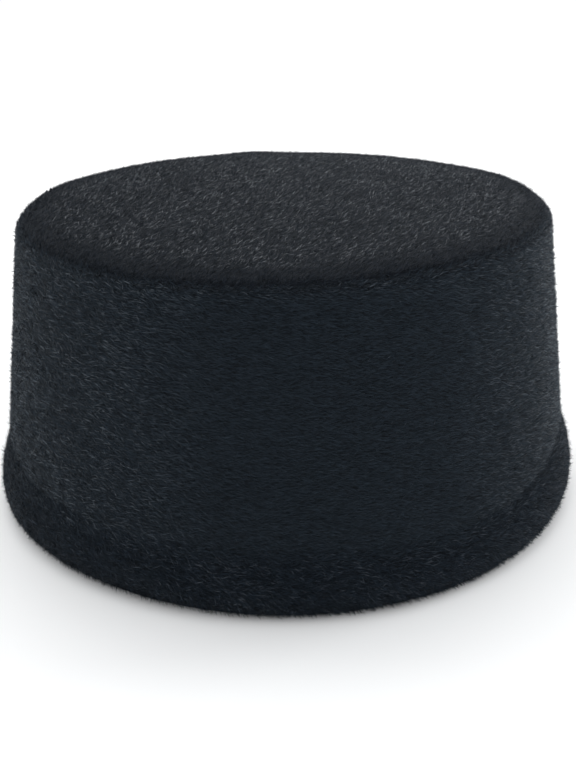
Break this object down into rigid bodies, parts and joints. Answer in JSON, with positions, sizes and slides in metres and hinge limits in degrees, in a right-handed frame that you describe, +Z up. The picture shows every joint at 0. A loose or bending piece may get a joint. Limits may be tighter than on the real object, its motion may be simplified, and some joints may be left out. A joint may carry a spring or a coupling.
{
  "type": "prayer cap",
  "caption": "Soft pillbox prayer cap of black short-pile plush with a slightly domed top, a tapering side band and a padded rolled hem.",
  "frame": {"origin": "centre of the cap's box, on the surface that its hem stands on", "axes": "+Z up through the crown, -Y the front, +X the wearer's left"},
  "size_m": [0.1966, 0.2094, 0.098],
  "materials": {
    "plush_crown": "short black pile brushed one way, slightly lustrous",
    "plush_band": "short black pile lying round the cap",
    "plush_hem": "slightly longer black pile on a padded roll"
  },
  "bodies": {
    "root": {"crown_top": "plush_crown", "side_band": "plush_band", "rolled_hem": "plush_hem"}
  },
  "joints": []
}
